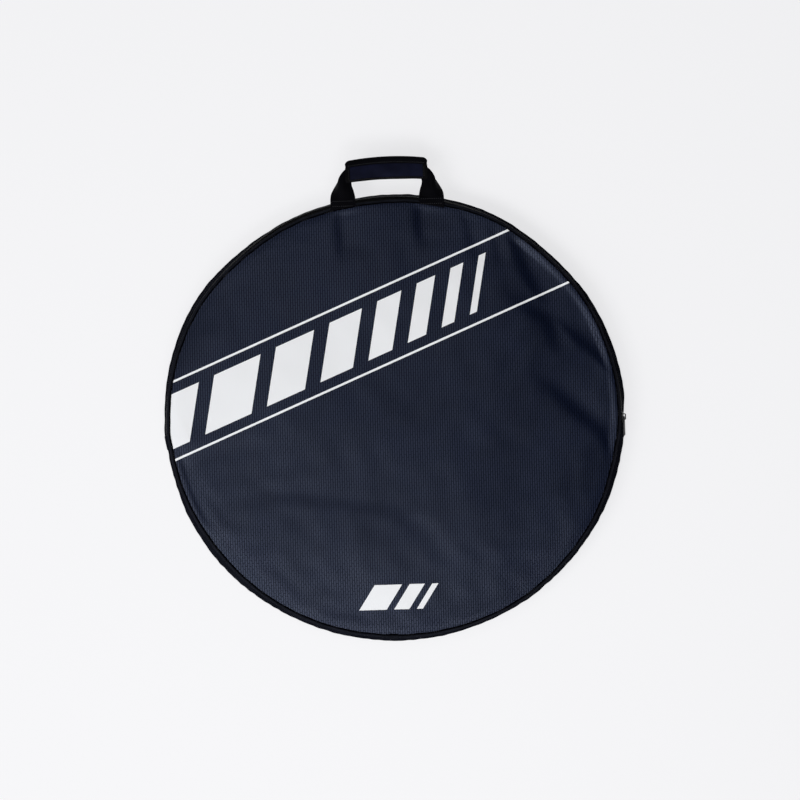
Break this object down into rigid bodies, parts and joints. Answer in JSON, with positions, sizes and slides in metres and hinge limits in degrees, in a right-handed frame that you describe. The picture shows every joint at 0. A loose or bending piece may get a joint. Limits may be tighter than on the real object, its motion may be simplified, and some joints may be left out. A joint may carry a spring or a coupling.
{
  "type": "bike wheel bag",
  "caption": "Round padded carry bag for one bicycle wheel, with a zip over the top of its side wall, a fold-down front flap and a padded webbing carry handle.",
  "frame": {"origin": "middle of the rear face, which the bag lies on", "axes": "+Z out of the front panel, +Y towards the carry handle, +X to the right as the front panel is seen with the handle at the top"},
  "size_m": [0.7442, 0.7754, 0.0624],
  "materials": {
    "navy_fabric": "dark navy ribbed nylon, coated",
    "grip_fabric": "navy woven nylon",
    "black_webbing": "black polypropylene webbing",
    "black_binding": "black ribbed binding tape and plain nylon",
    "grey_foam": "closed-cell foam, hidden inside",
    "grey_lining": "thin woven nylon lining",
    "zip_tape": "black woven zip tape",
    "zip_coil": "black nylon coil, satin",
    "black_metal": "black painted die-cast zinc, satin",
    "guard_plastic": "moulded sheet, matte",
    "hook_and_loop": "hook-and-loop tape"
  },
  "bodies": {
    "root": {"rear_panel_shell": "navy_fabric", "rear_panel_foam": "grey_foam", "rear_panel_lining": "grey_lining", "rear_hub_guard": "guard_plastic", "rear_edge_binding": "black_binding", "gusset_top_shell": "black_binding", "gusset_top_foam": "grey_foam", "gusset_top_lining": "grey_lining", "gusset_bottom_shell": "black_binding", "gusset_bottom_foam": "grey_foam", "gusset_bottom_lining": "grey_lining", "front_panel_shell": "navy_fabric", "front_panel_foam": "grey_foam", "front_panel_lining": "grey_lining", "front_hub_guard": "guard_plastic", "front_edge_binding": "black_binding", "zip_tape_lower": "zip_tape", "zip_coil_lower": "zip_coil", "zip_tape_end_left": "zip_tape", "zip_tape_end_right": "zip_tape", "zip_coil_end_left": "zip_coil", "zip_coil_end_right": "zip_coil", "zip_end_tab_left": "black_binding", "zip_end_tab_right": "black_binding"},
    "flap": {"flap_shell": "navy_fabric", "flap_foam": "grey_foam", "flap_lining": "grey_lining", "flap_edge_binding": "black_binding", "zip_tape_upper": "zip_tape", "zip_coil_upper": "zip_coil"},
    "handle": {"handle_webbing": "black_webbing", "grip_foam": "grey_foam", "grip_cover": "grip_fabric", "grip_band": "black_webbing", "grip_loop_strip": "hook_and_loop"},
    "leaf": {"grip_leaf": "grip_fabric", "grip_leaf_binding": "black_binding", "grip_hook_strip": "hook_and_loop"},
    "slider": {"zip_slider": "black_metal"},
    "pull": {"zip_pull": "black_metal"}
  },
  "joints": [
    {"name": "flap_fold", "type": "hinge", "parent": "root", "child": "flap", "pos_m": [0, 0.075, 0.0614], "axis": [1, 0, 0], "range_deg": [0, 150]},
    {"name": "handle_fold", "type": "hinge", "parent": "flap", "child": "handle", "pos_m": [0, 0.34995, 0.05745], "axis": [1, 0, 0], "range_deg": [0, 150]},
    {"name": "grip_leaf_open", "type": "hinge", "parent": "handle", "child": "leaf", "pos_m": [0, 0.4156, 0.06275], "axis": [-1, 0, 0], "range_deg": [0, 170]},
    {"name": "zip_travel", "type": "hinge", "parent": "root", "child": "slider", "pos_m": [0, 0, 0.0365], "axis": [0, 0, 1], "range_deg": [0, 180]},
    {"name": "pull_swing", "type": "hinge", "parent": "slider", "child": "pull", "pos_m": [0.36931, 0, 0.03838], "axis": [-0.342, 0, 0.9397], "range_deg": [0, 170]}
  ]
}
